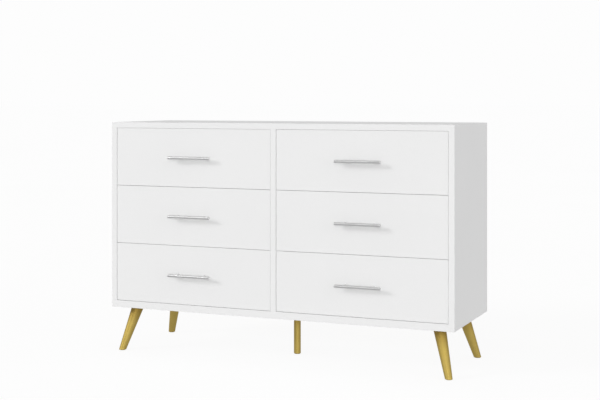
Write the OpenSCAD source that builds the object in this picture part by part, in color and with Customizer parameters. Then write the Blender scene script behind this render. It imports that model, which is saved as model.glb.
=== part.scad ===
// Six-drawer dresser: a white board body on splayed tapered metal legs, with two columns of inset
// drawers on three-part ball-bearing runners. Millimetres. X runs to the right, Y to the back, Z up.
// The origin is on the floor, under the centre of the overall box, bar handles included.

/* [Body] */
// Width of the body across the front
body_w = 1200; // [1000:10:1500]
// Depth of the body from its front edges to its back edges
body_d = 400; // [390:5:500]
// Height of the body without its legs
body_h = 627; // [600:1:720]
// Thickness of the top, side and middle panels
panel_t = 19; // [18:1:22]
// Thickness of the bottom panel, which carries the legs
bottom_t = 23; // [20:1:25]
// Thickness of the back panel
back_t = 4; // [3:0.5:4]
// Width of the bevel along the outer edges
edge_bevel = 0.5; // [0.25:0.25:1.5]

/* [Drawers] */
// Gap beside, below and between the drawer fronts
front_gap = 1; // [1:0.5:4]
// Gap above the top drawer fronts
top_gap = 0.5; // [0.5:0.25:4]
// How far the fronts sit behind the front edges of the body
front_recess = 1; // [0:0.5:6]
// Thickness of the drawer fronts
front_t = 18; // [16:1:20]
// Thickness of the drawer sides and backs
side_t = 12; // [12:1:15]
// Height of the drawer boxes
box_h = 140; // [120:5:145]
// Thickness of the drawer bottoms
floor_t = 4; // [3:0.5:5]

/* [Runners] */
// Length of the runners and of the drawer boxes
runner_l = 350; // [300:50:350]
// Height of the runners' cabinet members
runner_h = 45; // [45:1:50]

/* [Handles] */
// Length of the handle bars
handle_l = 152; // [120:2:200]
// Diameter of the handle bars
handle_d = 10; // [10:1:14]
// Distance from the drawer front's face to the bar's axis
handle_standoff = 24; // [22:1:35]
// Distance between the handle's two posts
post_spacing = 96; // [64:32:96]

/* [Legs] */
// Height of the body's underside above the floor
leg_h = 150; // [120:5:200]
// Diameter of the corner legs at the top
leg_top_d = 40; // [34:1:46]
// Diameter of the corner legs at the floor
leg_foot_d = 23; // [21:1:28]
// How far each corner leg's foot leans out sideways
splay_x = 41; // [20:1:45]
// How far each corner leg's foot leans out to the front or back
splay_y = 38; // [20:1:45]
// Diameter of the straight leg under the middle
middle_leg_d = 23; // [21:1:30]

/* [Hidden] */
$fn = 48;
cut = 1;                      // how far cutting tools run past a face
screw_play = 0.1;             // room around a screw, nail or bolt in its hole
blind_room = 0.5;             // how much deeper a blind hole is than what sits in it

// Overall places
handle_reach = handle_standoff + handle_d / 2 - front_recess;
front_y = (handle_reach - body_d) / 2;
back_y = front_y + body_d;
middle_y = front_y + body_d / 2;
under_z = leg_h;
floor_z = under_z + bottom_t;
ceiling_z = under_z + body_h - panel_t;
top_z = under_z + body_h;
inner_x = body_w / 2 - panel_t;

// Back panel and the rabbet that it sits in
rabbet_w = panel_t / 2;
rabbet_d = back_t + 1;
back_play = 0.5;
back_face_y = back_y - rabbet_d + back_t;
nail_r = 0.8;
nail_l = 16;
nail_head_r = 3;
nail_end_gap = 50;            // from the opening's end to the outermost nail in the top and bottom

// Drawer grid: rows count up from the bottom, columns from the left
ROWS = ["bottom", "middle", "top"];
COLS = ["left", "right"];
opening_w = (body_w - 3 * panel_t) / 2;
front_w = opening_w - 2 * front_gap;
front_h = (ceiling_z - floor_z - top_gap - 3 * front_gap) / 3;
front_face_y = front_y + front_recess;
box_y = front_face_y + front_t;
function column_x(col) = (2 * col - 1) * (panel_t + opening_w) / 2;
function front_z(row) = floor_z + front_gap + row * (front_h + front_gap);
function handle_z(row) = front_z(row) + front_h / 2;

// Drawer box
runner_t = 12.7;
box_lift = 20;                // from the front's lower edge to the box's lower edge
box_w = opening_w - 2 * runner_t;
hold_w = box_w - 2 * side_t;
groove_lift = 10;
groove_depth = 5;
groove_play = 0.1;
box_edge_bevel = 1;
back_screw_l = 30;
back_screw_r = 1.9;
back_screw_head_r = 3.8;
back_screw_head_t = 2;
back_screw_lifts = [24, box_h - 24];
function box_z(row) = front_z(row) + box_lift;
function bottom_face_z(row) = box_z(row) + groove_lift + floor_t;

// Runners: depths are measured from the cabinet wall, heights from the runner's middle line
steel_t = 1.2;
runner_lift = 60;             // from the box's lower edge to the runner's middle line
runner_y = box_y + 2;
cabinet_lip = 10;
cabinet_half = runner_h / 2;
middle_in = 3;
middle_lip = 11;
middle_half = cabinet_half - 5.5;
inner_in = 5.4;
inner_half = cabinet_half - 11;
lip_h = 2.4;
runner_screw_r = 1.75;
runner_head_r = 3;
pan_head_r = 3.4;
pan_head_t = 1.6;
pan_slope = 0.8;
runner_end = 10;              // no screw sits nearer than this to a runner's back end
cabinet_screw_places = [for (place = [35, 160, 300]) if (place < runner_l - runner_end) place];
drawer_screw_places = [for (place = [30, 180, 290]) if (place < runner_l - runner_end) place];
cabinet_screw_l = 8;
drawer_screw_l = 10;
cabinet_hole_places = [70, 120, 210, 255];
cabinet_hole_r = 3.2;
access_hole_r = 5;
middle_slot_places = [90, 230];
middle_slot_l = 30;
middle_slot_h = 6;
drawer_hole_places = [80, 130, 230];
drawer_hole_r = 2.6;
stop_t = 1.2;
stop_h = 18;
stop_gap = 0.6;               // from the runners' back ends to the stop
stop_clear = 1;               // from the stop to the drawer box
function runner_z(row) = box_z(row) + runner_lift;
function wall_x(col, side) = column_x(col) + side * opening_w / 2;

// Handle
post_r = 4;
post_socket = 3;              // from the bar's axis to the bottom of a post's socket
seat_gap = 0.1;               // keeps pieces that seat on each other separate solids
bar_bevel = 0.6;
handle_screw_r = 2;
handle_screw_bite = 9;
handle_head_t = 2.4;
handle_screw_play = 0.25;

// Panel fittings: a cam in the upright panel pulls on a bolt in the top or bottom panel
cam_r = 7.5;
cam_depth = 12.5;
cam_play = 0.15;
bolt_play = 0.5;
cross_l = 10;
cross_w = 1.4;
cam_end = 24;                 // from the panel's end to the cam's centre
bolt_in = 9;                  // from the cam's face to the bolt's axis
bolt_r = 3.5;
bolt_thread_r = 2.4;
bolt_thread_l = 10.5;
fitting_in = 60;              // from the body's front and back edges to the fittings
fitting_ys = [front_y + fitting_in, back_y - fitting_in];

// Legs
tube_wall = 1.6;
plate_t = 3;
plate_w = 70;
plate_play = 0.3;
plate_hole = 26;              // from the plate's middle to its screws, both ways
middle_plate_r = 27;
middle_plate_hole = 20;
plate_screw_r = 2;
plate_screw_head_r = 4;
plate_screw_l = 15;
plate_screw_play = 0.15;
glide_t = 1.5;                // how far the glides stand out below the tubes
glide_in = 2.5;               // from the tube's outside to the glide's edge
plug_h = 9;
plug_play = 0.5;
leg_in_x = body_w / 2 - 66;
leg_in_y = body_d / 2 - 64.5;
CORNERS = [[-1, -1], [1, -1], [-1, 1], [1, 1]];
CORNER_NAMES = ["leg_front_left", "leg_front_right", "leg_rear_left", "leg_rear_right"];

white = "#f4f4f2";
lining = "#ecebe6";
hardboard = "#b99b74";
zinc = "#b9bcc0";
nickel = "#c9c6bf";
gold = "#b79a52";
black = "#2a2a2a";

DRAWER_PARTS = ["front", "sides", "back", "bottom", "handle", "runners"];
function drawer_node(row, col, piece) = str("drawer_", ROWS[row], "_", COLS[col], "_", piece);
function middle_runner_node(row, col) = str("middle_runners_", ROWS[row], "_", COLS[col]);

// ---- shared shapes ----

// Extrudes a front-view outline, X across and Z up, from y by the given length towards the back
module run_back(y, length) {
    translate([0, y + length, 0]) rotate([90, 0, 0]) linear_extrude(length) children();
}

// Rectangle with all four corners bevelled
module bevelled_rect(x0, y0, x1, y1, b) {
    polygon([[x0 + b, y0], [x1 - b, y0], [x1, y0 + b], [x1, y1 - b],
             [x1 - b, y1], [x0 + b, y1], [x0, y1 - b], [x0, y0 + b]]);
}

// Cylinder along X between two places, with an end radius of its own for a countersunk head
module rod_x(x0, x1, y, z, r0, r1) {
    translate([min(x0, x1), y, z]) rotate([0, 90, 0])
        cylinder(h = abs(x1 - x0), r1 = x0 < x1 ? r0 : r1, r2 = x0 < x1 ? r1 : r0);
}

// Cylinder along Y between two places
module rod_y(x, y0, y1, z, r) {
    translate([x, y1, z]) rotate([90, 0, 0]) cylinder(h = y1 - y0, r = r);
}

// The body's outside with its bevelled edges
module body_outside() {
    intersection() {
        translate([0, 0, under_z]) linear_extrude(body_h)
            bevelled_rect(-body_w / 2, front_y, body_w / 2, back_y, edge_bevel);
        run_back(front_y, body_d) bevelled_rect(-body_w / 2, under_z, body_w / 2, top_z, edge_bevel);
        translate([-body_w / 2, 0, 0]) rotate([90, 0, 90]) linear_extrude(body_w)
            bevelled_rect(front_y, under_z, back_y, top_z, edge_bevel);
    }
}

module body_board(x0, z0, x1, z1) {
    intersection() {
        translate([x0, front_y, z0]) cube([x1 - x0, body_d, z1 - z0]);
        body_outside();
    }
}

// ---- back panel's rabbet and nails ----

module rabbet() {
    translate([-inner_x - rabbet_w, back_y - rabbet_d, floor_z - rabbet_w])
        cube([2 * (inner_x + rabbet_w), rabbet_d + cut, ceiling_z - floor_z + 2 * rabbet_w]);
}

module back_nails(r, length, head_r) {
    edge = rabbet_w / 2;
    span_x = inner_x - nail_end_gap;
    rise = ceiling_z - floor_z;
    level_places = [for (i = [-3:3], z = [floor_z - edge, ceiling_z + edge]) [i * span_x / 3, z]];
    upright_places = [for (x = [-inner_x - edge, 0, inner_x + edge], i = [1:3])
                      [x, floor_z + i * rise / 4]];
    for (place = concat(level_places, upright_places)) {
        rod_y(place[0], back_face_y - length, back_face_y, place[1], r);
        if (head_r > 0) rod_y(place[0], back_face_y, back_y, place[1], head_r);
    }
}

// ---- cam fittings between the upright panels and the top and bottom ----

// For each fitting: the X of the face that its cam is in, the way that face looks, its Y, and the Z of
// the panel's end with the direction from there into the panel
FITTINGS = [for (face = [[-inner_x, 1], [panel_t / 2, 1], [inner_x, -1]],
                 end = [[floor_z, 1], [ceiling_z, -1]], y = fitting_ys)
            [face[0], face[1], y, end[0], end[1]]];
function bolt_x(f) = f[0] - f[1] * bolt_in;
function cam_z(f) = f[3] + f[4] * cam_end;

module cam_holes() {
    hole_r = cam_r + cam_play;
    for (f = FITTINGS) {
        rod_x(f[0] - f[1] * (cam_depth + 1), f[0] + f[1] * cut, f[2], cam_z(f), hole_r, hole_r);
        translate([bolt_x(f), f[2], min(cam_z(f), f[3] - f[4] * cut)])
            cylinder(h = cam_end + cut, r = bolt_r + bolt_play);
    }
}

module bolt_holes() {
    for (f = FITTINGS)
        translate([bolt_x(f), f[2], f[4] > 0 ? f[3] - bolt_thread_l - blind_room : f[3] - cut])
            cylinder(h = bolt_thread_l + blind_room + cut, r = bolt_thread_r + screw_play);
}

module cam(f) {
    difference() {
        rod_x(f[0] - f[1] * cam_depth, f[0], f[2], cam_z(f), cam_r, cam_r);
        translate([bolt_x(f), f[2], cam_z(f) - (f[4] > 0 ? cam_r + cut : bolt_r + cut)])
            cylinder(h = cam_r + bolt_r + 2 * cut, r = bolt_r + bolt_play);
        for (size = [[cross_l, cross_w], [cross_w, cross_l]])
            translate([f[0] - cross_w, f[2] - size[0] / 2, cam_z(f) - size[1] / 2])
                cube([2 * cross_w, size[0], size[1]]);
    }
}

module cam_bolt(f) {
    translate([bolt_x(f), f[2], f[4] > 0 ? f[3] : cam_z(f) - bolt_r])
        cylinder(h = cam_end + bolt_r, r = bolt_r);
    translate([bolt_x(f), f[2], f[4] > 0 ? f[3] - bolt_thread_l : f[3]])
        cylinder(h = bolt_thread_l, r = bolt_thread_r);
}

// ---- body panels ----

module top_panel() {
    color(white) difference() {
        body_board(-body_w / 2, ceiling_z, body_w / 2, top_z);
        rabbet();
        bolt_holes();
        back_nails(nail_r + screw_play, nail_l + blind_room, 0);
    }
}

module bottom_panel() {
    color(white) difference() {
        body_board(-body_w / 2, under_z, body_w / 2, floor_z);
        rabbet();
        bolt_holes();
        back_nails(nail_r + screw_play, nail_l + blind_room, 0);
        plate_pockets();
        plate_screws(plate_screw_r + plate_screw_play, plate_screw_l + blind_room);
    }
}

module upright_panel(x) {
    color(white) difference() {
        body_board(x - panel_t / 2, floor_z, x + panel_t / 2, ceiling_z);
        rabbet();
        cam_holes();
        back_nails(nail_r + screw_play, nail_l + blind_room, 0);
        cabinet_screw_holes();
    }
}

module left_side_panel() { upright_panel(-inner_x - panel_t / 2); }

module right_side_panel() { upright_panel(inner_x + panel_t / 2); }

module middle_panel() { upright_panel(0); }

module back_panel() {
    half_w = inner_x + rabbet_w - back_play;
    rise = ceiling_z - floor_z + 2 * (rabbet_w - back_play);
    color(hardboard) difference() {
        translate([-half_w, back_y - rabbet_d, floor_z - rabbet_w + back_play])
            cube([2 * half_w, back_t, rise]);
        back_nails(nail_r + screw_play, nail_l, 0);
    }
}

module panel_fittings() {
    color(zinc) for (f = FITTINGS) {
        cam(f);
        cam_bolt(f);
    }
}

// ---- runners ----

// Carries a runner's outline and parts from the cabinet's left-hand wall to any wall
module at_wall(row, col, side) {
    translate([wall_x(col, side), 0, runner_z(row)]) mirror([side > 0 ? 1 : 0, 0, 0]) children();
}

module each_wall() {
    for (row = [0:2], col = [0:1], side = [-1, 1]) at_wall(row, col, side) children();
}

module mirrored_lips() {
    children();
    mirror([0, 1]) children();
}

module cabinet_outline() {
    translate([0, -cabinet_half]) square([steel_t, 2 * cabinet_half]);
    mirrored_lips() {
        translate([0, cabinet_half - steel_t]) square([cabinet_lip, steel_t]);
        translate([cabinet_lip - steel_t, cabinet_half - steel_t - lip_h]) square([steel_t, steel_t + lip_h]);
    }
}

module middle_outline() {
    web_half = cabinet_half - 2 * steel_t;
    translate([middle_in, -web_half]) square([steel_t, 2 * web_half]);
    mirrored_lips() {
        translate([middle_in, middle_half - steel_t]) square([middle_lip - middle_in, steel_t]);
        translate([middle_lip - steel_t, middle_half - steel_t - lip_h]) square([steel_t, steel_t + lip_h]);
    }
}

module drawer_outline() {
    translate([runner_t - steel_t, -inner_half]) square([steel_t, 2 * inner_half]);
    mirrored_lips() {
        translate([inner_in, inner_half - steel_t]) square([runner_t - inner_in, steel_t]);
        translate([inner_in, inner_half - steel_t]) square([steel_t, steel_t + lip_h]);
    }
}

// The countersunk head fills the member's steel, and its shank goes on into the panel
module cabinet_screws(play) {
    shank_r = runner_screw_r + play;
    head_r = runner_head_r + play;
    for (place = cabinet_screw_places) {
        y = runner_y + place;
        rod_x(-cabinet_screw_l - play, 0, y, 0, shank_r, shank_r);
        rod_x(0, steel_t, y, 0, shank_r, head_r);
        if (play > 0) rod_x(steel_t, steel_t + cut, y, 0, head_r, head_r);
    }
}

module cabinet_screw_holes() { each_wall() cabinet_screws(screw_play); }

module cabinet_runners() {
    stop_w = runner_t - stop_clear - steel_t;
    color(zinc) each_wall() {
        difference() {
            run_back(runner_y, runner_l + stop_gap + stop_t) cabinet_outline();
            cabinet_screws(screw_play);
            for (place = cabinet_hole_places)
                rod_x(-cut, steel_t + cut, runner_y + place, 0, cabinet_hole_r, cabinet_hole_r);
        }
        translate([steel_t, runner_y + runner_l + stop_gap, -stop_h / 2]) cube([stop_w, stop_t, stop_h]);
    }
}

// The round holes let a driver through to the cabinet member's screws
module middle_runners(row, col) {
    low_x = middle_in - cut;
    high_x = middle_in + steel_t + cut;
    color(zinc) for (side = [-1, 1]) at_wall(row, col, side) difference() {
        run_back(runner_y, runner_l) middle_outline();
        for (place = cabinet_screw_places)
            rod_x(low_x, high_x, runner_y + place, 0, access_hole_r, access_hole_r);
        for (place = middle_slot_places)
            translate([low_x, runner_y + place, -middle_slot_h / 2])
                cube([high_x - low_x, middle_slot_l, middle_slot_h]);
    }
}

module drawer_screws(play) {
    for (place = drawer_screw_places)
        rod_x(runner_t - steel_t - (play > 0 ? cut : seat_gap), runner_t + drawer_screw_l + play,
              runner_y + place, 0, runner_screw_r + play, runner_screw_r + play);
}

module back_screws(row, col, play) {
    for (side = [-1, 1], lift = back_screw_lifts) {
        face_x = column_x(col) + side * box_w / 2;
        head_x = face_x - side * back_screw_head_t;
        y = box_y + runner_l - side_t / 2;
        z = box_z(row) + lift;
        shank_r = back_screw_r + play;
        rod_x(face_x - side * (back_screw_l + play), head_x, y, z, shank_r, shank_r);
        rod_x(head_x, face_x, y, z, shank_r, back_screw_head_r + play);
    }
}

module drawer_runners(row, col) {
    head_x = runner_t - steel_t - seat_gap;
    color(zinc) {
        for (side = [-1, 1]) at_wall(row, col, side) {
            difference() {
                run_back(runner_y, runner_l) drawer_outline();
                drawer_screws(screw_play);
                for (place = drawer_hole_places)
                    rod_x(runner_t - steel_t - cut, runner_t + cut, runner_y + place, 0,
                          drawer_hole_r, drawer_hole_r);
            }
            drawer_screws(0);
            for (place = drawer_screw_places)
                rod_x(head_x - pan_head_t, head_x, runner_y + place, 0, pan_head_r - pan_slope, pan_head_r);
        }
        back_screws(row, col, 0);
    }
}

// ---- drawers ----

// Board with the edges of its front face bevelled
module drawer_front(row, col) {
    x0 = column_x(col) - front_w / 2;
    z0 = front_z(row);
    b = edge_bevel;
    floor_half = hold_w / 2 + groove_depth + 2 * groove_play;
    color(white) difference() {
        intersection() {
            translate([0, 0, z0]) linear_extrude(front_h)
                polygon([[x0 + b, front_face_y], [x0 + front_w - b, front_face_y],
                         [x0 + front_w, front_face_y + b], [x0 + front_w, box_y],
                         [x0, box_y], [x0, front_face_y + b]]);
            translate([x0, 0, 0]) rotate([90, 0, 90]) linear_extrude(front_w)
                polygon([[front_face_y, z0 + b], [front_face_y + b, z0], [box_y, z0],
                         [box_y, z0 + front_h], [front_face_y + b, z0 + front_h],
                         [front_face_y, z0 + front_h - b]]);
        }
        translate([column_x(col) - floor_half, box_y - groove_depth - groove_play,
                   box_z(row) + groove_lift - groove_play])
            cube([2 * floor_half, groove_depth + groove_play + cut, floor_t + 2 * groove_play]);
        for (side = [-1, 1])
            rod_y(column_x(col) + side * post_spacing / 2, front_face_y - cut, box_y + cut,
                  handle_z(row), handle_screw_r + handle_screw_play);
    }
}

// Left-hand side board in front view: its outer face at 0, its groove on the inside
module side_outline() {
    b = box_edge_bevel;
    groove_x = side_t - groove_depth - groove_play;
    low = groove_lift - groove_play;
    high = groove_lift + floor_t + groove_play;
    polygon([[0, 0], [side_t, 0], [side_t, low], [groove_x, low], [groove_x, high], [side_t, high],
             [side_t, box_h - b], [side_t - b, box_h], [b, box_h], [0, box_h - b]]);
}

module drawer_sides(row, col) {
    color(lining) difference() {
        for (side = [-1, 1])
            translate([column_x(col) + side * box_w / 2, 0, box_z(row)]) mirror([side > 0 ? 1 : 0, 0, 0])
                run_back(box_y, runner_l) side_outline();
        for (side = [-1, 1]) at_wall(row, col, side) drawer_screws(screw_play);
        back_screws(row, col, screw_play);
    }
}

module drawer_back(row, col) {
    low = bottom_face_z(row) + groove_play;
    high = box_z(row) + box_h;
    color(lining) difference() {
        translate([column_x(col) - hold_w / 2, box_y + runner_l - side_t, low])
            cube([hold_w, side_t, high - low]);
        back_screws(row, col, screw_play);
    }
}

module drawer_bottom(row, col) {
    half_w = hold_w / 2 + groove_depth - groove_play;
    color(lining)
        translate([column_x(col) - half_w, box_y - groove_depth, box_z(row) + groove_lift])
            cube([2 * half_w, runner_l + groove_depth, floor_t]);
}

module handle(row, col) {
    bar_y = front_face_y - handle_standoff;
    bar_r = handle_d / 2;
    socket_y = bar_y + post_socket;
    module post_axes() {
        for (side = [-1, 1]) translate([column_x(col) + side * post_spacing / 2, 0, 0]) children();
    }
    color(nickel) {
        difference() {
            translate([column_x(col) - handle_l / 2, bar_y, handle_z(row)]) rotate([0, 90, 0])
                rotate_extrude() polygon([[0, 0], [bar_r - bar_bevel, 0], [bar_r, bar_bevel],
                    [bar_r, handle_l - bar_bevel], [bar_r - bar_bevel, handle_l], [0, handle_l]]);
            post_axes() rod_y(0, socket_y - seat_gap, bar_y + bar_r + cut, handle_z(row),
                              post_r + seat_gap);
        }
        post_axes() difference() {
            rod_y(0, socket_y, front_face_y, handle_z(row), post_r);
            rod_y(0, front_face_y - handle_screw_bite - blind_room, front_face_y + cut, handle_z(row),
                  handle_screw_r + screw_play);
        }
        post_axes() {
            rod_y(0, front_face_y - handle_screw_bite, box_y, handle_z(row), handle_screw_r);
            rod_y(0, box_y, box_y + handle_head_t, handle_z(row), 2 * handle_screw_r);
        }
    }
}

// ---- legs, their plates, screws and glides ----

// Carries a shape from upright at the foot's centre to the lean of a corner's leg
module leaning(corner) {
    run = norm([splay_x, splay_y]);
    translate([corner[0] * (leg_in_x + splay_x), middle_y + corner[1] * (leg_in_y + splay_y), 0])
        rotate([0, atan2(run, leg_h), atan2(-corner[1] * splay_y, -corner[0] * splay_x)]) children();
}

// Cone along the leg's axis, drawn past both ends and then cut level
module level_cut_cone(corner, foot_r, top_r, low, high) {
    past = 15;
    leg_l = norm([splay_x, splay_y, leg_h]);
    taper = (top_r - foot_r) / leg_l;
    intersection() {
        leaning(corner) rotate([0, 0, 90]) translate([0, 0, -past])
            cylinder(h = leg_l + 2 * past, r1 = foot_r - taper * past, r2 = top_r + taper * past);
        translate([-body_w / 2, front_y, low]) cube([body_w, body_d, high - low]);
    }
}

module corner_leg(corner) {
    color(gold) difference() {
        level_cut_cone(corner, leg_foot_d / 2, leg_top_d / 2, glide_t, under_z);
        level_cut_cone(corner, leg_foot_d / 2 - tube_wall, leg_top_d / 2 - tube_wall,
                       glide_t - cut, under_z + cut);
    }
}

module middle_leg() {
    color(gold) translate([0, middle_y, glide_t]) difference() {
        cylinder(h = under_z - glide_t, r = middle_leg_d / 2);
        translate([0, 0, -cut]) cylinder(h = leg_h, r = middle_leg_d / 2 - tube_wall);
    }
}

module leg_glides() {
    plug_r = leg_foot_d / 2 - tube_wall - plug_play;
    on_axis = glide_t / leg_h;
    root = glide_t / 2;
    color(black) {
        for (corner = CORNERS) {
            translate([corner[0] * (leg_in_x + splay_x * (1 - on_axis)),
                       middle_y + corner[1] * (leg_in_y + splay_y * (1 - on_axis)), 0])
                cylinder(h = glide_t, r = leg_foot_d / 2 - glide_in);
            level_cut_cone(corner, plug_r, plug_r, root, glide_t + plug_h);
        }
        translate([0, middle_y, 0]) {
            cylinder(h = glide_t, r = middle_leg_d / 2 - glide_in);
            cylinder(h = glide_t + plug_h, r = middle_leg_d / 2 - tube_wall - plug_play);
        }
    }
}

module corner_plates(grow) {
    half_w = plate_w / 2 + grow;
    for (corner = CORNERS)
        translate([corner[0] * leg_in_x - half_w, middle_y + corner[1] * leg_in_y - half_w,
                   under_z - (grow > 0 ? cut : 0)])
            cube([2 * half_w, 2 * half_w, plate_t + (grow > 0 ? cut : 0)]);
}

module round_plate(grow) {
    translate([0, middle_y, under_z - (grow > 0 ? cut : 0)])
        cylinder(h = plate_t + (grow > 0 ? cut : 0), r = middle_plate_r + grow);
}

module plate_pockets() {
    corner_plates(plate_play);
    round_plate(plate_play);
}

// Countersunk screws up through the plates, with their heads flush with the plates' undersides
module plate_screws(r, length) {
    head = plate_screw_head_r - plate_screw_r;
    corner_places = [for (corner = CORNERS, sx = [-1, 1], sy = [-1, 1])
                     [corner[0] * leg_in_x + sx * plate_hole,
                      middle_y + corner[1] * leg_in_y + sy * plate_hole]];
    middle_places = [for (a = [30, 150, 270])
                     [middle_plate_hole * cos(a), middle_y + middle_plate_hole * sin(a)]];
    for (place = concat(corner_places, middle_places)) translate([place[0], place[1], under_z]) {
        cylinder(h = head, r1 = r + head, r2 = r);
        translate([0, 0, head]) cylinder(h = length - head, r = r);
    }
}

module leg_plates() {
    color(zinc) difference() {
        union() {
            corner_plates(0);
            round_plate(0);
        }
        plate_screws(plate_screw_r + plate_screw_play, plate_screw_l);
    }
}

module body_screws() {
    color(zinc) {
        plate_screws(plate_screw_r, plate_screw_l);
        each_wall() cabinet_screws(0);
        back_nails(nail_r, nail_l, nail_head_r);
    }
}

// ---- nodes ----

top_panel();
bottom_panel();
left_side_panel();
right_side_panel();
middle_panel();
back_panel();
panel_fittings();
cabinet_runners();
body_screws();
leg_plates();
middle_leg();
leg_glides();
for (i = [0:3]) corner_leg(CORNERS[i]);
for (row = [0:2], col = [0:1]) {
    middle_runners(row, col);
    drawer_front(row, col);
    drawer_sides(row, col);
    drawer_back(row, col);
    drawer_bottom(row, col);
    handle(row, col);
    drawer_runners(row, col);
}
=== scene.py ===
"""Looks of the six-drawer dresser: materials, runner balls and cages, screw recesses, camera and light.

Every length is in metres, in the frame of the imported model: X to the right, Y to the back, Z up.
"""
import math

import bmesh
import bpy
from mathutils import Matrix, Vector


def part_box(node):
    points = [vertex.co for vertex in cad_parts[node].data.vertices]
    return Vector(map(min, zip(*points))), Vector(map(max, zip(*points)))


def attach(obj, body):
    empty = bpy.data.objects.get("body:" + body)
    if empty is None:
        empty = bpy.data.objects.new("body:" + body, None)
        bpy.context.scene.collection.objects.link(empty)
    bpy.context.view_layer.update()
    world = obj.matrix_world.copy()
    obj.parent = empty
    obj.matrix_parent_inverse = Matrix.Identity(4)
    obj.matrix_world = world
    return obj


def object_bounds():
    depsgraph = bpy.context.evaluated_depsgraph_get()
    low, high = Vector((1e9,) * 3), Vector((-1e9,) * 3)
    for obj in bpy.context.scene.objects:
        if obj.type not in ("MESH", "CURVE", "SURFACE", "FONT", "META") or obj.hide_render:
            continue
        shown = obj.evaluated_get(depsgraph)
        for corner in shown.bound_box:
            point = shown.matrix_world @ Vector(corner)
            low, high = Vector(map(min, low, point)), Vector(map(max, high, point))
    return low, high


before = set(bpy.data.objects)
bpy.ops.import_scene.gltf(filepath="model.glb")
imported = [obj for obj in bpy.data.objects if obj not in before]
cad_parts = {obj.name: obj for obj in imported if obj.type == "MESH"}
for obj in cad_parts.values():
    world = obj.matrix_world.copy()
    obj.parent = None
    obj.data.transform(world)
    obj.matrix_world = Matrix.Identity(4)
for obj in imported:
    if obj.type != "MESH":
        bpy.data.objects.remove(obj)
CAD_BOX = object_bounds()

MM = 0.001
ROWS = ("bottom", "middle", "top")
COLUMNS = ("left", "right")
DRAWERS = [f"drawer_{row}_{column}" for row in ROWS for column in COLUMNS]
RUNNER_BODIES = [f"middle_runners_{row}_{column}" for row in ROWS for column in COLUMNS]
WHITE_NODES = ["top_panel", "bottom_panel", "left_side_panel", "right_side_panel", "middle_panel"]
GOLD_NODES = ["leg_front_left", "leg_front_right", "leg_rear_left", "leg_rear_right", "middle_leg"]
ZINC_NODES = ["panel_fittings", "cabinet_runners", "body_screws", "leg_plates"]


# ---- node helpers ----

def srgb(r, g, b):
    """Linear colour of 8-bit screen values."""
    def linear(v):
        v /= 255.0
        return v / 12.92 if v <= 0.04045 else ((v + 0.055) / 1.055) ** 2.4
    return (linear(r), linear(g), linear(b), 1.0)


class Material:
    """A Principled material with short calls for its procedural nodes."""

    def __init__(self, name, **sockets):
        self.data = bpy.data.materials.new(name)
        self.data.use_nodes = True
        self.nodes = self.data.node_tree.nodes
        self.links = self.data.node_tree.links
        self.shader = self.nodes["Principled BSDF"]
        for socket, value in sockets.items():
            self.shader.inputs[socket.replace("_", " ")].default_value = value
        self.place = self.nodes.new("ShaderNodeTexCoord").outputs["Object"]

    def node(self, kind, **settings):
        made = self.nodes.new(kind)
        for key, value in settings.items():
            setattr(made, key, value)
        return made

    def stretched(self, scale, rotation=(0, 0, 0)):
        """Object coordinates, turned and then scaled per axis, so that a noise draws out into streaks."""
        mapping = self.node("ShaderNodeMapping")
        mapping.inputs["Rotation"].default_value = rotation
        mapping.inputs["Scale"].default_value = scale
        self.links.new(self.place, mapping.inputs["Vector"])
        return mapping.outputs["Vector"]

    def noise(self, scale, detail=3.0, roughness=0.5, vector=None):
        made = self.node("ShaderNodeTexNoise")
        made.inputs["Scale"].default_value = scale
        made.inputs["Detail"].default_value = detail
        made.inputs["Roughness"].default_value = roughness
        self.links.new(vector or self.place, made.inputs["Vector"])
        return made.outputs["Fac"]

    def spots(self, scale, vector=None):
        made = self.node("ShaderNodeTexVoronoi")
        made.inputs["Scale"].default_value = scale
        self.links.new(vector or self.place, made.inputs["Vector"])
        return made.outputs["Distance"]

    def ramp(self, value, low, high, from_low=0.3, from_high=0.7):
        """value carried from one range to another."""
        made = self.node("ShaderNodeMapRange")
        for socket, number in (("From Min", from_low), ("From Max", from_high),
                               ("To Min", low), ("To Max", high)):
            made.inputs[socket].default_value = number
        self.links.new(value, made.inputs["Value"])
        return made.outputs["Result"]

    def mix(self, factor, first, second):
        """Colour mix; first and second are colours or colour outputs."""
        made = self.node("ShaderNodeMix", data_type="RGBA")
        self.links.new(factor, made.inputs["Factor"])
        for socket, value in ((6, first), (7, second)):
            if isinstance(value, tuple):
                made.inputs[socket].default_value = value
            else:
                self.links.new(value, made.inputs[socket])
        return made.outputs[2]

    def total(self, first, second, share):
        """first plus second times share."""
        made = self.node("ShaderNodeMath", operation="MULTIPLY_ADD")
        self.links.new(second, made.inputs[0])
        made.inputs[1].default_value = share
        self.links.new(first, made.inputs[2])
        return made.outputs[0]

    def colour(self, value):
        self.links.new(value, self.shader.inputs["Base Color"])

    def roughness(self, value):
        self.links.new(value, self.shader.inputs["Roughness"])

    def bump(self, height, distance, strength=1.0):
        made = self.node("ShaderNodeBump")
        made.inputs["Distance"].default_value = distance
        made.inputs["Strength"].default_value = strength
        self.links.new(height, made.inputs["Height"])
        self.links.new(made.outputs["Normal"], self.shader.inputs["Normal"])


# ---- materials ----

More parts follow.
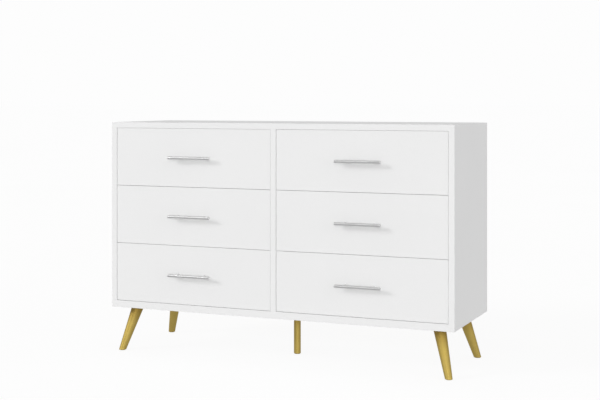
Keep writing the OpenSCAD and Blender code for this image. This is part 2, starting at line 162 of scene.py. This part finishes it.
def white_paint():
    """Satin white paint, rolled and sprayed on fibreboard: a fine orange peel and a faint cloudiness."""
    m = Material("white_paint", IOR=1.46)
    cloud = m.noise(3.0, 4.0)
    grain = m.noise(420.0, 3.0, 0.6)
    peel = m.noise(900.0, 2.0, 0.4)
    base = m.mix(m.ramp(cloud, 0.0, 1.0), srgb(237, 237, 237), srgb(239, 239, 239))
    m.colour(m.mix(m.ramp(grain, 0.0, 0.25), base, srgb(233, 233, 233)))
    m.roughness(m.ramp(m.noise(14.0, 3.0), 0.42, 0.50))
    m.bump(m.total(peel, grain, 0.5), 0.00003, 0.4)
    return m.data


def white_laminate():
    """Warm white melamine on the drawer boxes, with a printed pore pattern drawn out along each board."""
    m = Material("white_laminate", IOR=1.5)
    pores = m.noise(60.0, 5.0, 0.65, m.stretched((1.0, 1.0, 14.0)))
    cloud = m.noise(9.0, 3.0)
    base = m.mix(m.ramp(cloud, 0.0, 1.0), srgb(229, 227, 221), srgb(235, 234, 229))
    m.colour(m.mix(m.ramp(pores, 0.0, 0.5, 0.45, 0.75), base, srgb(219, 216, 208)))
    m.roughness(m.ramp(pores, 0.45, 0.58))
    m.bump(pores, 0.00008, 0.6)
    return m.data


def white_hardboard():
    """The drawer bottoms' white-faced hardboard: flat, dry and slightly mottled."""
    m = Material("white_hardboard", IOR=1.45)
    fibre = m.noise(240.0, 5.0, 0.7)
    mottle = m.noise(22.0, 4.0)
    base = m.mix(m.ramp(mottle, 0.0, 1.0), srgb(224, 221, 214), srgb(232, 230, 224))
    m.colour(m.mix(m.ramp(fibre, 0.0, 0.4), base, srgb(210, 206, 197)))
    m.roughness(m.ramp(fibre, 0.58, 0.72))
    m.bump(fibre, 0.0001, 0.6)
    return m.data


def brown_hardboard():
    """Bare hardboard on the back: pressed brown fibre with dark specks and longer pale strands."""
    m = Material("brown_hardboard", IOR=1.45)
    fibre = m.noise(320.0, 6.0, 0.75)
    strands = m.noise(70.0, 4.0, 0.6, m.stretched((1.0, 1.0, 3.5), (0.0, 0.5, 0.0)))
    specks = m.spots(260.0)
    mottle = m.noise(6.0, 4.0)
    base = m.mix(m.ramp(mottle, 0.0, 1.0), srgb(150, 116, 78), srgb(170, 136, 96))
    strandy = m.mix(m.ramp(strands, 0.0, 0.6), base, srgb(190, 158, 118))
    fibrous = m.mix(m.ramp(fibre, 0.0, 0.6), strandy, srgb(120, 88, 56))
    m.colour(m.mix(m.ramp(specks, 0.7, 0.0, 0.05, 0.16), fibrous, srgb(84, 58, 36)))
    m.roughness(m.ramp(fibre, 0.62, 0.80))
    m.bump(m.total(fibre, strands, 0.8), 0.00025, 0.8)
    return m.data


GOLD_SHADE_H = 60 * MM         # how far below the leg plates the painted shade of the gold begins
GOLD_SHADE_MOST = 0.8            # share of the painted shade colour at the leg's top


def satin_gold():
    """Satin gold plate on the tapered legs: faint polishing rings, a slight clouding, and painted shade that
    darkens the top, under the body.
    """
    m = Material("satin_gold", Metallic=1.0)
    rings = m.noise(30.0, 4.0, 0.6, m.stretched((1.0, 1.0, 60.0)))
    cloud = m.noise(26.0, 4.0)
    height = m.node("ShaderNodeSeparateXYZ")
    m.links.new(m.place, height.inputs["Vector"])
    base = m.mix(m.ramp(cloud, 0.0, 1.0), srgb(194, 170, 92), srgb(202, 179, 102))
    ringed = m.mix(m.ramp(rings, 0.0, 0.25), base, srgb(180, 155, 78))
    # Painted shade: the gold darkens towards the top of each leg, where the body above shades it.
    leg_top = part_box("leg_plates")[0][2]
    top_shade = m.ramp(height.outputs["Z"], 0.0, GOLD_SHADE_MOST, leg_top - GOLD_SHADE_H, leg_top)
    m.colour(m.mix(top_shade, ringed, srgb(146, 116, 52)))
    m.roughness(m.ramp(m.total(cloud, rings, 0.6), 0.50, 0.60, 0.4, 1.1))
    m.bump(rings, 0.00001, 0.4)
    return m.data


def satin_nickel():
    """Satin nickel on the bar handles, brushed along the bar."""
    m = Material("satin_nickel", Metallic=1.0)
    brush = m.noise(60.0, 4.0, 0.65, m.stretched((1.0, 70.0, 70.0)))
    cloud = m.noise(40.0, 3.0)
    base = m.mix(m.ramp(cloud, 0.0, 1.0), srgb(216, 216, 216), srgb(223, 223, 223))
    m.colour(m.mix(m.ramp(brush, 0.0, 0.35), base, srgb(196, 196, 196)))
    m.roughness(m.ramp(brush, 0.32, 0.44))
    m.bump(brush, 0.00001, 0.4)
    return m.data


def bright_zinc():
    """Zinc plate on the runners, plates, cams and screws: cool grey with a faint yellow and blue drift."""
    m = Material("bright_zinc", Metallic=1.0)
    drift = m.noise(12.0, 3.0)
    rolled = m.noise(40.0, 5.0, 0.6, m.stretched((30.0, 1.0, 30.0)))
    spangle = m.spots(300.0)
    base = m.mix(m.ramp(drift, 0.0, 1.0), srgb(196, 200, 206), srgb(206, 204, 196))
    streaked = m.mix(m.ramp(rolled, 0.0, 0.5), base, srgb(172, 176, 182))
    m.colour(m.mix(m.ramp(spangle, 0.0, 0.3, 0.2, 0.8), streaked, srgb(214, 217, 220)))
    m.roughness(m.ramp(rolled, 0.26, 0.42))
    m.bump(rolled, 0.00003, 0.5)
    return m.data


def black_plastic():
    """Moulded black glides, scuffed grey where they slide on the floor."""
    m = Material("black_plastic", IOR=1.5)
    spark = m.noise(900.0, 2.0, 0.5)
    scuff = m.noise(160.0, 5.0, 0.7)
    m.colour(m.mix(m.ramp(scuff, 0.0, 1.0, 0.55, 0.75), srgb(30, 30, 31), srgb(72, 72, 73)))
    m.roughness(m.ramp(scuff, 0.5, 0.7))
    m.bump(spark, 0.00008, 0.7)
    return m.data


def recess_painted_shade():
    """Painted shade for the unlit bottom of a driver recess: a dark sheet, faintly mottled."""
    m = Material("recess_painted_shade", Metallic=1.0)
    # A faint mottle in the painted shade.
    shade_mottle = m.noise(700.0, 3.0)
    m.colour(m.mix(m.ramp(shade_mottle, 0.0, 1.0), srgb(60, 60, 62), srgb(84, 84, 86)))
    m.roughness(m.ramp(shade_mottle, 0.4, 0.6))
    return m.data


# ---- dressing the CAD nodes ----

def dress(node, material):
    """Gives a CAD node its material."""
    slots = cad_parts[node].data.materials
    slots.clear()
    slots.append(material)


def dress_all(zinc):
    """Every CAD node gets its material."""
    paint = white_paint()
    laminate = white_laminate()
    hardboard = white_hardboard()
    gold = satin_gold()
    nickel = satin_nickel()
    for node in WHITE_NODES + [f"{drawer}_front" for drawer in DRAWERS]:
        dress(node, paint)
    for drawer in DRAWERS:
        dress(f"{drawer}_sides", laminate)
        dress(f"{drawer}_back", laminate)
        dress(f"{drawer}_bottom", hardboard)
        dress(f"{drawer}_handle", nickel)
        dress(f"{drawer}_runners", zinc)
    dress("back_panel", brown_hardboard())
    for node in ZINC_NODES + RUNNER_BODIES:
        dress(node, zinc)
    for node in GOLD_NODES:
        dress(node, gold)
    dress("leg_glides", black_plastic())


# ---- details that the CAD leaves out: balls, ball cages and driver recesses drawn as painted shade ----

MIDDLE_STAND = 3.0 * MM       # from the cabinet wall to a middle member's web
BALL_PITCH = 11.0 * MM
CAGE_T = 0.4 * MM
CAGE_MARGIN = 3.0 * MM        # from the last ball's centre to the cage's end
# Each race: the balls' radius, their depth from the cabinet wall, their height from the runner's middle
# line, and where their row begins and ends along the middle member, as shares of its length
OUTER_RACE = (2.0 * MM, 6.5 * MM, 19.15 * MM, 0.56, 0.95)
INNER_RACE = (1.5 * MM, 8.2 * MM, 13.65 * MM, 0.05, 0.44)
CAGE_HALF_H = 0.8             # half the cage's height, as a share of the balls' radius
BALL_ROUNDNESS = 2            # how often each ball's starting faces are divided
LONGEST_SCREW = 40 * MM       # anything longer in a node with screws isn't a screw
END_TOL = 0.01 * MM           # points this near an end belong to its rim
HEAD_OVER_SHANK = 1.2         # a screw's head is at least this much wider than its other end
RECESS_PROUD = 0.03 * MM      # the painted-shade recess marks lie this far out of the heads, so that they show
# A recess arm's length and its half width at the middle and at the tip, as shares of the head's radius
ARM_TIP, ARM_ROOT, ARM_TIP_HALF = 0.52, 0.13, 0.09


def new_piece(name, mesh, material, body):
    """A named object from a bmesh, which moves with a CAD body."""
    data = bpy.data.meshes.new(name)
    mesh.to_mesh(data)
    mesh.free()
    data.materials.append(material)
    obj = bpy.data.objects.new(name, data)
    bpy.context.collection.objects.link(obj)
    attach(obj, body)


def add_ball(mesh, centre, radius):
    """A smooth steel ball."""
    made = bmesh.ops.create_icosphere(mesh, subdivisions=BALL_ROUNDNESS, radius=radius,
                                      matrix=Matrix.Translation(centre))
    for vert in made["verts"]:
        for face in vert.link_faces:
            face.smooth = True


def add_block(mesh, low, high):
    """A box between two corners."""
    size = [b - a for a, b in zip(low, high)]
    middle = [(a + b) / 2 for a, b in zip(low, high)]
    place = Matrix.Translation(middle) @ Matrix.Diagonal((*size, 1.0))
    bmesh.ops.create_cube(mesh, size=1.0, matrix=place)


def add_ball_row(mesh, x, z, first_y, count, radius):
    """A row of balls along Y in a thin upright cage."""
    last_y = first_y + (count - 1) * BALL_PITCH
    half_h = CAGE_HALF_H * radius
    for i in range(count):
        add_ball(mesh, (x, first_y + i * BALL_PITCH, z), radius)
    add_block(mesh, (x - CAGE_T / 2, first_y - CAGE_MARGIN, z - half_h),
              (x + CAGE_T / 2, last_y + CAGE_MARGIN, z + half_h))


def ball_rows(material):
    """Steel balls in cages, above and below each runner's middle member."""
    for body in RUNNER_BODIES:
        low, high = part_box(body)
        middle_z = (low[2] + high[2]) / 2
        length = high[1] - low[1]
        mesh = bmesh.new()
        for wall_x, inward in ((low[0] - MIDDLE_STAND, 1), (high[0] + MIDDLE_STAND, -1)):
            for radius, depth, lift, start, end in (OUTER_RACE, INNER_RACE):
                count = int((end - start) * length / BALL_PITCH)
                for z in (middle_z - lift, middle_z + lift):
                    add_ball_row(mesh, wall_x + inward * depth, z, low[1] + start * length, count, radius)
        new_piece(body.replace("middle_runners", "ball_rows"), mesh, material, body)


def solids_of(node):
    """The separate solids of a CAD node, each as a list of its corner points."""
    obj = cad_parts[node]
    points = [obj.matrix_world @ v.co for v in obj.data.vertices]
    keys = [tuple(round(c, 6) for c in p) for p in points]
    leader = {key: key for key in keys}

    def lead(key):
        while leader[key] != key:
            leader[key] = leader[leader[key]]
            key = leader[key]
        return key

    for edge in obj.data.edges:
        leader[lead(keys[edge.vertices[0]])] = lead(keys[edge.vertices[1]])
    groups = {}
    for key, point in zip(keys, points):
        groups.setdefault(lead(key), []).append(point)
    return list(groups.values())


def screw_heads(node, axes):
    """(centre of the head's outer face, axis, way out, head radius) of each screw lying along these axes."""
    found = []
    for points in solids_of(node):
        low = [min(p[i] for p in points) for i in range(3)]
        high = [max(p[i] for p in points) for i in range(3)]
        size = [b - a for a, b in zip(low, high)]
        axis = size.index(max(size))
        if axis not in axes or size[axis] > LONGEST_SCREW:
            continue
        middle = Vector((a + b) / 2 for a, b in zip(low, high))
        ends = []
        for value in (low[axis], high[axis]):
            rim = [p - middle for p in points if abs(p[axis] - value) < END_TOL]
            across = [math.hypot(*(c for i, c in enumerate(p) if i != axis)) for p in rim]
            ends.append(max(across))
        if max(ends) < HEAD_OVER_SHANK * min(ends):
            continue
        way = 1 if ends[1] > ends[0] else -1
        middle[axis] = high[axis] if way > 0 else low[axis]
        found.append((middle, axis, way, max(ends)))
    return found


def add_recess(mesh, centre, axis, way, radius):
    """A flat cross of painted shade for a driver's recess on a screw head, tapering a little towards the
    tips of its arms.
    """
    tip = ARM_TIP * radius
    root = ARM_ROOT * radius
    half_tip = ARM_TIP_HALF * radius
    outline = []
    for turn in range(4):
        for along, across in ((root, -root), (tip, -half_tip), (tip, half_tip)):
            a = turn * math.pi / 2
            outline.append((along * math.cos(a) - across * math.sin(a),
                            along * math.sin(a) + across * math.cos(a)))
    others = [i for i in range(3) if i != axis]
    rings = []
    for depth in (-RECESS_PROUD, RECESS_PROUD):
        ring = []
        for u, v in outline:
            place = Vector(centre)
            place[axis] += way * depth
            place[others[0]] += u
            place[others[1]] += v
            ring.append(mesh.verts.new(place))
        rings.append(ring)
    for ring in rings:
        mesh.faces.new(ring)
    for i in range(len(outline)):
        j = (i + 1) % len(outline)
        mesh.faces.new((rings[0][i], rings[0][j], rings[1][j], rings[1][i]))


def driver_recesses():
    """Crosses of painted shade on the screws, standing for their driver recesses; the nails in the back,
    which lie along Y, have plain heads.
    """
    dark = recess_painted_shade()
    jobs = [("carcass", "body_screws", (0, 2))]
    jobs += [(drawer, f"{drawer}_{piece}", axes) for drawer in DRAWERS
             for piece, axes in (("handle", (1,)), ("runners", (0,)))]
    for body, node, axes in jobs:
        mesh = bmesh.new()
        for head in screw_heads(node, axes):
            add_recess(mesh, *head)
        bmesh.ops.recalc_face_normals(mesh, faces=mesh.faces)
        new_piece(f"{node}_recesses", mesh, dark, body)


def add_details(zinc):
    """The pieces that are too fine for the CAD."""
    ball_rows(zinc)
    driver_recesses()


# ---- floor, light and camera ----

SEEN_WHITE = 0.982            # radiance of the pale surroundings as the camera sees them
FLOOR_GLOW = 0.90             # the floor's own share of its brightness
FLOOR_SIZE = 400.0            # wide enough to meet the surroundings without a visible edge
FLOOR_CORNERS = 96
FLOOR_GREYS = (0.098, 0.104)  # lowest and highest reflectance of the floor
# Radiance of the surroundings straight up, level and straight down, as they light the object
WORLD_ABOVE, WORLD_LEVEL, WORLD_BELOW = 0.60, 0.59, 0.52
# Lamps: name, degrees across from the front's normal (left is negative), degrees up, strength, spread
LAMPS = (("key_left", -47, 25, 0.88, 18), ("fill_front", 20, 8, 0.78, 30), ("fill_right", 70, 12, 0.5, 40))
# The camera: place from the middle of the bottom panel's lower face, turn to the left, lens and shift
CAMERA_PLACE = (1.5948, -3.7655, 0.7013)
CAMERA_TURN = 22.83
CAMERA_LENS = 72.98
CAMERA_SENSOR = 36.0
CAMERA_SHIFT = -0.1663
CAMERA_REACH = 1000.0         # so that the far edge of the floor stays in view


def floor_material():
    """A pale studio floor that shows only a trace of the shadow: most of its brightness is its own."""
    m = Material("studio_floor", Roughness=0.9)
    m.shader.inputs["Specular IOR Level"].default_value = 0.0
    soft = m.noise(0.7, 2.0)
    dark, light = ((grey, grey, grey, 1.0) for grey in FLOOR_GREYS)
    m.colour(m.mix(m.ramp(soft, 0.0, 1.0), dark, light))
    m.shader.inputs["Emission Color"].default_value = (1.0, 1.0, 1.0, 1.0)
    m.shader.inputs["Emission Strength"].default_value = FLOOR_GLOW
    return m.data


def studio_floor():
    """A wide round floor, which neither lights the object nor shows in it."""
    bpy.ops.mesh.primitive_circle_add(vertices=FLOOR_CORNERS, radius=FLOOR_SIZE / 2, fill_type="NGON",
                                      location=(0, 0, CAD_BOX[0][2]))
    floor = bpy.context.object
    floor.name = "studio_floor"
    floor.data.materials.append(floor_material())
    floor.visible_diffuse = False
    floor.visible_glossy = False


def studio_world():
    """Soft white surroundings, a little brighter above than below, and plain white to the eye."""
    world = bpy.data.worlds.new("studio")
    bpy.context.scene.world = world
    world.use_nodes = True
    nodes = world.node_tree.nodes
    links = world.node_tree.links
    direction = nodes.new("ShaderNodeTexCoord")
    split = nodes.new("ShaderNodeSeparateXYZ")
    links.new(direction.outputs["Generated"], split.inputs["Vector"])
    height = nodes.new("ShaderNodeValToRGB")
    stops = height.color_ramp.elements
    horizon = stops.new(0.5)
    for stop, grey in ((stops[0], WORLD_BELOW), (horizon, WORLD_LEVEL), (stops[-1], WORLD_ABOVE)):
        stop.color = (grey, grey, grey, 1)
    shift = nodes.new("ShaderNodeMapRange")
    shift.inputs["From Min"].default_value = -1.0
    links.new(split.outputs["Z"], shift.inputs["Value"])
    links.new(shift.outputs["Result"], height.inputs["Fac"])
    lighting = nodes["Background"]
    links.new(height.outputs["Color"], lighting.inputs["Color"])
    shown = nodes.new("ShaderNodeBackground")
    shown.inputs["Color"].default_value = (1, 1, 1, 1)
    shown.inputs["Strength"].default_value = SEEN_WHITE
    ray = nodes.new("ShaderNodeLightPath")
    choose = nodes.new("ShaderNodeMixShader")
    links.new(ray.outputs["Is Camera Ray"], choose.inputs["Fac"])
    links.new(lighting.outputs["Background"], choose.inputs[1])
    links.new(shown.outputs["Background"], choose.inputs[2])
    links.new(choose.outputs["Shader"], nodes["World Output"].inputs["Surface"])


def lamp(name, across, up, strength, spread):
    """A broad, far lamp."""
    light = bpy.data.lights.new(name, "SUN")
    light.energy = strength
    light.angle = math.radians(spread)
    holder = bpy.data.objects.new(name, light)
    bpy.context.collection.objects.link(holder)
    a = math.radians(across)
    e = math.radians(up)
    towards = Vector((math.sin(a) * math.cos(e), -math.cos(a) * math.cos(e), math.sin(e)))
    holder.rotation_euler = towards.to_track_quat("Z", "Y").to_euler()


def studio_lamps():
    for settings in LAMPS:
        lamp(*settings)


def photo_camera():
    """The camera stands to the right of the dresser, level, a little above the top, and looks left."""
    low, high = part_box("bottom_panel")
    middle = (Vector(low) + Vector(high)) / 2
    data = bpy.data.cameras.new("camera")
    data.sensor_width = CAMERA_SENSOR
    data.lens = CAMERA_LENS
    data.shift_y = CAMERA_SHIFT
    data.clip_end = CAMERA_REACH
    camera = bpy.data.objects.new("camera", data)
    camera.location = Vector((middle.x, middle.y, low[2])) + Vector(CAMERA_PLACE)
    camera.rotation_euler = (math.radians(90), 0, math.radians(CAMERA_TURN))
    bpy.context.collection.objects.link(camera)
    bpy.context.scene.camera = camera


def colour_management():
    """Plain screen colours, with no film look."""
    view = bpy.context.scene.view_settings
    view.view_transform = "Standard"
    view.look = "None"
    view.exposure = 0.0
    view.gamma = 1.0


photo_camera()
studio_world()
studio_lamps()
studio_floor()
zinc_plate = bright_zinc()
dress_all(zinc_plate)
add_details(zinc_plate)
colour_management()
